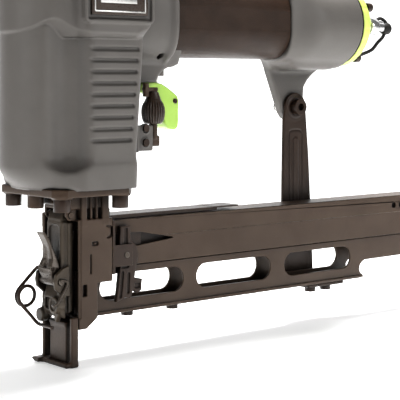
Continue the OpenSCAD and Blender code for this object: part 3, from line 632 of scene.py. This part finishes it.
def bolt_field(x, y, z):
    """The magazine latch: a tall lever with a slotted spine, two legs and a hook."""
    side = outline(x, z, [(27.8, 74), (34.2, 74), (35.2, 66), (38.6, 63), (40.2, 56), (38.6, 50), (37.6, 44.6),
                          (43, 43.4), (42.4, 37.2), (39.6, 35.4), (36.4, 37.6), (35, 33.2), (31.2, 34), (25, 32),
                          (26.6, 44), (27.6, 52), (26.8, 60)])
    d = common(side, span(y, -12.6, -9.8), 0.5)
    groove = span(y, -14, -11.6)
    d = cut(d, common(box2(x, z, 30.2, 32.6, 60.5, 73, 0.8), groove, 0.2), 0.4)
    d = cut(d, common(box2(x, z, 28.6, 33.4, 50.5, 56, 0.8), groove, 0.2), 0.4)
    d = cut(d, common(rod(x, 0 * y, z, (29.2, 0, 48), (27.8, 0, 35), 0.9), groove, 0.2), 0.4)
    d = cut(d, common(rod(x, 0 * y, z, (33.4, 0, 47), (33, 0, 37), 0.9), groove, 0.2), 0.4)
    d = cut(d, common(box2(x, z, 37.6, 41.2, 38.6, 41.4, 0.6), groove, 0.2), 0.4)
    return cut(d, np.hypot(x - 31, z - 58) - 1.55, 0.2)


def trigger_field(x, y, z):
    side = outline(x, z, [(46.8, 150.8), (47.6, 148.6), (50, 147.6), (58, 147.4), (60.4, 146), (61.6, 142.4), (63.6, 138),
                          (63.6, 134), (64.2, 130.6), (66.2, 128.2), (69, 126.9), (72.4, 126.5), (74.4, 128.2),
                          (74.9, 132), (74.8, 138), (75.2, 143.2), (74, 146.2), (71, 148.4), (67, 151),
                          (62.5, 153.4), (57, 154.3), (50, 154.3), (47.8, 153)])
    d = common(side, np.abs(y) - 6, 1.3)
    slot = outline(x, z, [(54, 146.6), (67, 146.6), (68, 140.5), (77, 140.5), (77, 158), (54, 158)])
    d = cut(d, common(slot, np.abs(y) - 4, 0.3), 0.4)
    d = cut(d, box3(x, y, z, (60, -4, 139), (67.5, 4, 147), 0.4), 0.4)
    d = cut(d, np.hypot(x - 50, z - 151) - 1.65, 0.2)
    return cut(d, np.hypot(x - 72, z - 143.3) - 1.5, 0.2)


def guide_field(x, y, z):
    d = merge(box3(x, y, z, (28, -18.6, 115.8), (46, -16.4, 130.2), 0.8),
              box3(x, y, z, (28, -27, 115.8), (29.8, -16.4, 130.2), 0.6), 0.5)
    for level in (120.5, 128.0):
        d = merge(d, common(np.hypot(x - 40.4, z - level) - 3.1, span(y, -19, -17), 0.3), 0.6)
        d = cut(d, common(np.hypot(x - 40.4, z - level) - 2.2, y + 18.2, 0.2), 0.2)
    return d


def cap_field(x, y, z):
    r = np.hypot(y, z - HANDLE_Z)
    d = merge(common(r - 26.9, span(x, 211.1, 216.2), 0.8), common(r - 25.6, span(x, 212, 219.2), 2.2), 0.8)
    d = merge(d, common(r - 13, span(x, 214, 222), 0.8), 3)
    for i in range(24):
        a = 2 * math.pi * (i + 0.5) / 24
        d = cut(d, rod(x, y, z, (209, 28.2 * math.cos(a), HANDLE_Z + 28.2 * math.sin(a)),
                       (215.2, 28.2 * math.cos(a), HANDLE_Z + 28.2 * math.sin(a)), 1.6), 0.5)
    for i in range(4):
        a = math.radians(63 + 90 * i)
        cy, cz = CAP_SCREW_R * math.cos(a), HANDLE_Z + CAP_SCREW_R * math.sin(a)
        d = cut(d, common(np.hypot(y - cy, z - cz) - 3.1, 218 - x), 0.3)
    d = cut(d, common(r - 10, x - 218), 0.3)
    return cut(d, r - 5, 0.3)


def arm_field(x, y, z):
    wide = outline(x, z, [(177, 138), (175.6, 129), (174.6, 78), (173.8, 24), (202.4, 24), (199.5, 77), (197.7, 107),
                          (195, 138)])
    sheet = span(y, 10.5, 12.7)
    d = merge(common(wide, sheet, 0.5), common(np.hypot(x - ARM_X, z - ARM_Z) - 9.2, sheet, 0.5), 0.4)
    flange = common(np.abs(wide + 5.0) - 1.1, span(y, 10.5, 14.3), 0.4)
    d = merge(d, common(flange, span(z, 24, 122), 0.6), 0.5)
    rib = common(box2(x, z, 183.6, 187.6, 60, 118, 1.8), span(y, 9.8, 12), 0.3)
    d = merge(d, rib, 1.2)
    d = merge(d, common(np.hypot(x - ARM_X, z - ARM_Z) - 7.0, span(y, 10.1, 12), 0.3), 0.5)
    groove = common(np.abs(box2(x, z, 180, 191.5, 54, 123, 3)) - 0.4, y - 10.9, 0.2)
    d = cut(d, groove, 0.5)
    d = merge(d, box3(x, y, z, (180, -7.5, 22.8), (212, 12.7, 25), 0.6), 0.8)
    for sx in (188.6, 202.3):
        d = cut(d, common(np.hypot(x - sx, y) - 1.7, z - 40), 0.2)
    return cut(d, np.hypot(x - ARM_X, z - ARM_Z) - 3.1, 0.3)


def make_mechanism():
    quick = 1.0
    solid("nose_block", nose_field, (-27, -32, 1.0), (27, 32, 98.5), 0.55 * quick, "dark_steel", "housing",
          ["nose_casting"])
    solid("door_body", door_field, (-15, -11, 23.5), (-1, 11, 85), 0.4 * quick, "door_steel", "door", ["front_door"])
    solid("latch_tab", latch_field, (-22, -8.2, 43.5), (-7.8, 8.2, 75.5), 0.35 * quick, "lever_steel", "latch",
          ["latch_lever"])
    solid("contact_foot", foot_field, (-12.5, -16.5, -0.4), (53.5, 17.5, 154.5), 0.5 * quick, "dark_steel", "safety",
          ["safety_foot"])
    solid("magazine_bolt", bolt_field, (24, -13, 31), (44, -9.4, 75), 0.35 * quick, "black_steel", "cover_latch",
          ["magazine_latch"])
    solid("trigger_shell", trigger_field, (46, -6.5, 125.8), (76, 6.5, 155), 0.4 * quick, "lime_plastic",
          "trigger_lever", ["trigger"])
    solid("guide_plate", guide_field, (27.5, -27.5, 115), (46.5, -16, 131), 0.4 * quick, "body_paint", "housing",
          ["safety_guide"])
    cap = solid("rear_cap", cap_field, (210.5, -27.5, 164), (222.6, 27.5, 219), 0.5 * quick, "lime_plastic",
                "housing", ["end_cap"])
    cap.data.materials[0] = finish_material("lime_cap", (0.60, 0.77, 0.13), (0.66, 0.83, 0.17), 0.34, grain=1600,
                                            bump=0.1, patch=120, recess_shade=0.25)
    solid("rear_arm", arm_field, (173, -8, 22.2), (213, 15, 148), 0.5 * quick, "black_steel", "housing",
          ["support_arm"])


def tube(name, path, radius, slot, body, nodes=(), sides=16):
    """Round wire or cord along a path (mm); radius may be a number or one value a point."""
    path = np.array(path, float)
    radius = np.broadcast_to(radius, len(path))
    ahead = np.gradient(path, axis=0)
    ahead /= np.linalg.norm(ahead, axis=1)[:, None]
    normal = np.cross(ahead[0], (0.31, 0.17, 0.93))
    points, faces = [], []
    for place, along, r in zip(path, ahead, radius):
        normal = normal - along * normal.dot(along)
        normal /= np.linalg.norm(normal)
        other = np.cross(along, normal)
        for k in range(sides):
            a = 2 * math.pi * k / sides
            points.append(place + r * (math.cos(a) * normal + math.sin(a) * other))
    rows = len(path)
    for i in range(rows - 1):
        for k in range(sides):
            m, n = (k + 1) % sides, i + 1
            faces.append((i * sides + k, n * sides + k, n * sides + m, i * sides + m))
    faces += [tuple(range(sides)), tuple(range((rows - 1) * sides, rows * sides))[::-1]]
    mesh = bpy.data.meshes.new(name)
    mesh.from_pydata((np.array(points) * MM).tolist(), [], faces)
    mesh.polygons.foreach_set("use_smooth", np.array([len(f) == 4 for f in faces]))
    built = bmesh.new()
    built.from_mesh(mesh)
    bmesh.ops.recalc_face_normals(built, faces=built.faces)
    built.to_mesh(mesh)
    return attach(bpy.data.objects.new(name, mesh), slot, body, nodes)


def smooth_path(corners, count=12):
    """A path through the corners, rounded by a Catmull-Rom curve."""
    c = np.array([corners[0]] + list(corners) + [corners[-1]], float)
    out = []
    for i in range(1, len(c) - 2):
        for t in np.linspace(0, 1, count, endpoint=False):
            out.append(0.5 * (2 * c[i] + (c[i + 1] - c[i - 1]) * t
                              + (2 * c[i - 1] - 5 * c[i] + 4 * c[i + 1] - c[i + 2]) * t * t
                              + (3 * c[i] - c[i - 1] - 3 * c[i + 1] + c[i + 2]) * t ** 3))
    out.append(c[-1])
    return out


def make_wires():
    """The latch's sprung wire with its coil, and the short link on the near side."""
    turn = [math.radians(130 + 455 * t) for t in np.linspace(0, 1, 72)]
    coil = [(-20.3 + 5.5 * math.cos(a), 10.5 - 2.9 * i / 71, 37.8 + 5.5 * math.sin(a)) for i, a in enumerate(turn)]
    wire = smooth_path([(-12.9, -6.2, 53.2), (-12.9, 5.5, 53.2), (-13.6, 8.6, 52.6), (-17, 9.6, 49.0)], 8)
    wire += smooth_path([(-19.4, 9.9, 46.6), (-22.4, 10.3, 43.6)], 4) + coil
    wire += smooth_path([(-22.6, 7.5, 31.9), (-18, 7.5, 26.9), (-14.6, 7.8, 23.2), (-12.8, 7.2, 21.7), (-12.4, 4, 21.5),
                         (-12.4, -5, 21.5)], 8)
    tube("latch_wire", wire, 1.0, "black_steel", "bail", ["latch_bail"])
    link = smooth_path([(-11.2, -11.0, 47.6), (-7.6, -11.1, 46.8), (-7.4, -11.1, 44.6), (-12.6, -11.1, 36.4),
                        (-14.2, -10.2, 34.2), (-14.0, -8, 33.9), (-13.2, -6.6, 33.8)], 8)
    tube("near_link", link, 0.7, "lever_steel", "door")


def lathe(name, profile, centre, axis, slot, body, nodes=(), steps=96, ridges=0, depth=0.0, span_=(0, 0)):
    """Turns (distance along, radius) pairs about an axis; ridges flute the stretch inside span_."""
    points, faces = [], []
    for along, r in profile:
        for k in range(steps):
            a = 2 * math.pi * k / steps
            rr = r
            if ridges and span_[0] <= along <= span_[1]:
                rr = r - depth * (0.5 + 0.5 * math.cos(ridges * a)) ** 2
            c, q = rr * math.cos(a), rr * math.sin(a)
            place = {"x": (along, c, q), "y": (c, along, q), "z": (c, q, along)}[axis]
            points.append([p + o for p, o in zip(place, centre)])
    rows = len(profile)
    for i in range(rows - 1):
        for k in range(steps):
            m = (k + 1) % steps
            faces.append((i * steps + k, (i + 1) * steps + k, (i + 1) * steps + m, i * steps + m))
    faces += [tuple(range(steps)), tuple(range((rows - 1) * steps, rows * steps))]
    mesh = bpy.data.meshes.new(name)
    mesh.from_pydata((np.array(points) * MM).tolist(), [], faces)
    built = bmesh.new()
    built.from_mesh(mesh)
    bmesh.ops.recalc_face_normals(built, faces=built.faces)
    built.to_mesh(mesh)
    piece = bpy.data.objects.new(name, mesh)
    attach(piece, slot, body, nodes)
    soften(piece)
    return piece


def soften(piece, width=0.0002, angle=35):
    """Rounds the sharp edges a little and shades the rest smooth."""
    for polygon in piece.data.polygons:
        polygon.use_smooth = True
    bevel = piece.modifiers.new("bevel", "BEVEL")
    bevel.width, bevel.segments, bevel.limit_method = width, 2, "ANGLE"
    bevel.angle_limit = math.radians(angle)
    bevel.harden_normals = True


def make_wheel():
    """The depth wheel: a fluted bulb with a narrow neck above, on the safety's threaded stud."""
    profile = [(130.7, 2.6), (130.7, 4.6), (131.4, 5.4), (133, 6.1), (135, 6.6), (137.5, 6.8), (140, 6.6),
               (142, 5.9), (143.6, 4.9), (145.2, 4.2), (148.4, 4.0), (148.7, 3.6), (148.7, 2.6)]
    profile = [(z, min(r, 3.1) if z > 145.3 else r) for z, r in profile]
    lathe("wheel_knob", profile, (49.5, -14, 0), "z", "black_plastic", "wheel", ["depth_wheel"], 144, 24, 0.7,
          (132, 142.5))


def make_rear():
    """Rubber cup over the plug's tip, and the cord that ties it to the end cap."""
    cup = [(258.6, 0.4), (257.4, 1.6), (257.2, 2.9), (258.2, 3.7), (260.5, 4.2), (263, 3.9), (264.2, 2.6), (264.4, 0.4)]
    lathe("dust_cup", cup, (0, 0, HANDLE_Z - 1), "x", "black_rubber", "cap", ["dust_cap"], 48)
    hook = smooth_path([(251.2, 0, 195.2), (253, 0, 196.6), (256, 0, 197.2), (259.4, 0, 196), (262, 0, 193.6),
                        (261.6, 0, 190)], 10)
    tube("dust_cup_hook", hook, 1.15, "black_rubber", "cap")
    path = smooth_path([(219.4, 0, 172.4), (224, 0, 171.6), (232, 0, 171.6), (241.3, 0, 173.8), (247.7, 0, 176.2),
                        (252.8, 0, 180.6), (257.6, 0, 184.2), (260.2, 0, 187.6)], 10)
    cord = tube("strap_cord", path, 1.2, "black_rubber", None, ["dust_cap_strap"])
    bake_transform(cord)


# ---------------------------------------------------------------- magazine track and label

def flat_part(outer, holes, y0, y1, soft=0.3):
    """Plate seen from the side (X-Z outlines in mm) with rounded edges, as mesh data."""
    curve = bpy.data.curves.new("flat", "CURVE")
    curve.dimensions, curve.fill_mode = "2D", "BOTH"
    curve.extrude, curve.bevel_depth = ((y1 - y0) / 2 - soft) * MM, soft * MM
    curve.bevel_resolution, curve.offset = 2, -soft * MM
    for ring in [outer] + holes:
        spline = curve.splines.new("POLY")
        spline.points.add(len(ring) - 1)
        for point, (u, v) in zip(spline.points, ring):
            point.co = (u * MM, v * MM, 0, 1)
        spline.use_cyclic_u = True
    holder = bpy.data.objects.new("flat", curve)
    mesh = bpy.data.meshes.new_from_object(holder)
    mesh.transform(Matrix(((1, 0, 0, 0), (0, 0, -1, (y0 + y1) / 2 * MM), (0, 1, 0, 0), (0, 0, 0, 1))))
    bpy.data.objects.remove(holder)
    return mesh


def block(lo, hi):
    built = bmesh.new()
    bmesh.ops.create_cube(built, size=1.0)
    for vert in built.verts:
        vert.co = [(a + b) / 2 * MM + c * (b - a) * MM for a, b, c in zip(lo, hi, vert.co)]
    bmesh.ops.bevel(built, geom=built.edges[:], offset=0.3 * MM, segments=2, affect="EDGES", profile=0.5)
    mesh = bpy.data.meshes.new("block")
    built.to_mesh(mesh)
    return mesh


def joined(name, meshes, slot, body, nodes=()):
    built = bmesh.new()
    for mesh in meshes:
        built.from_mesh(mesh)
    mesh = bpy.data.meshes.new(name)
    built.to_mesh(mesh)
    mesh.materials.clear()
    for polygon in mesh.polygons:
        polygon.use_smooth, polygon.material_index = True, 0
    mesh.set_sharp_from_angle(angle=math.radians(40))
    return attach(bpy.data.objects.new(name, mesh), slot, body, nodes)


def round_window(x0, length, z, r):
    ends = [(x0 + length - r, -90), (x0 + r, 90)]
    return [(cx + r * math.cos(math.radians(a0 + k * 7.5)), z + r * math.sin(math.radians(a0 + k * 7.5)))
            for cx, a0 in ends for k in range(25)]


def make_track():
    tail = [(231.6, 25), (231.2, 26.4), (228.6, 28.2), (227.6, 30.6), (228.2, 33.2), (230.2, 35.3), (233, 36.4)]
    side = [(1.2, 25)] + tail + [(296, 36.6), (296, 50.8), (1.2, 50.8)]
    windows = [round_window(x0, 60, 39.7, 7.2)[::-1] for x0 in (17.6, 87.5, 159)]
    plates = [flat_part(side, windows, y0, y0 + 1.5) for y0 in (-7, 5.5)]
    floor = [block((1.2, -5.7, 25), (226, 5.7, 27)), block((12, -8.2, 25), (228, 8.2, 26.8))]
    joined("track_shell", plates + floor, "dark_steel", "housing", ["magazine_track"])


def make_label():
    """A plain plate: black, with a bright border and one broad bar, and no lettering."""
    y = -36.0
    plate = [block((-8, y, 190), (29, y + 1.2, 208))]
    joined("label_blank", plate, "black_plastic", "housing", ["label_plate"])
    rim = [block((-6.5, y - 0.25, 191.6), (27.5, y + 0.3, 192.5)), block((-6.5, y - 0.25, 205.5), (27.5, y + 0.3, 206.4)),
           block((-6.5, y - 0.25, 191.6), (-5.6, y + 0.3, 206.4)), block((26.6, y - 0.25, 191.6), (27.5, y + 0.3, 206.4)),
           block((-2.5, y - 0.25, 196.4), (21.5, y + 0.3, 200.6))]
    joined("label_border", rim, "bright_steel", "housing")


# ---------------------------------------------------------------- CAD pieces kept as they are

def dress_frame():
    """Gives each CAD node its material and softened edges."""
    slots = {s["node"]: s["material_slot"] for s in frame["record"]["subparts"]}
    for name, node in frame["nodes"].items():
        node.data.materials.clear()
        node.data.materials.append(LOOKS["black_steel" if name == "pusher" else slots[name]])
        if name in ("main_body",):
            continue
        weld = node.modifiers.new("weld", "WELD")
        weld.merge_threshold = 0.00002
        bevel = node.modifiers.new("bevel", "BEVEL")
        bevel.width, bevel.segments, bevel.limit_method = 0.00035, 2, "ANGLE"
        bevel.angle_limit = math.radians(35)
        bevel.harden_normals = True


make_camera()
make_light()
make_stage()
LOOKS = make_materials()
dress_frame()
make_body()
make_mechanism()
make_wires()
make_wheel()
make_rear()
make_track()
make_label()
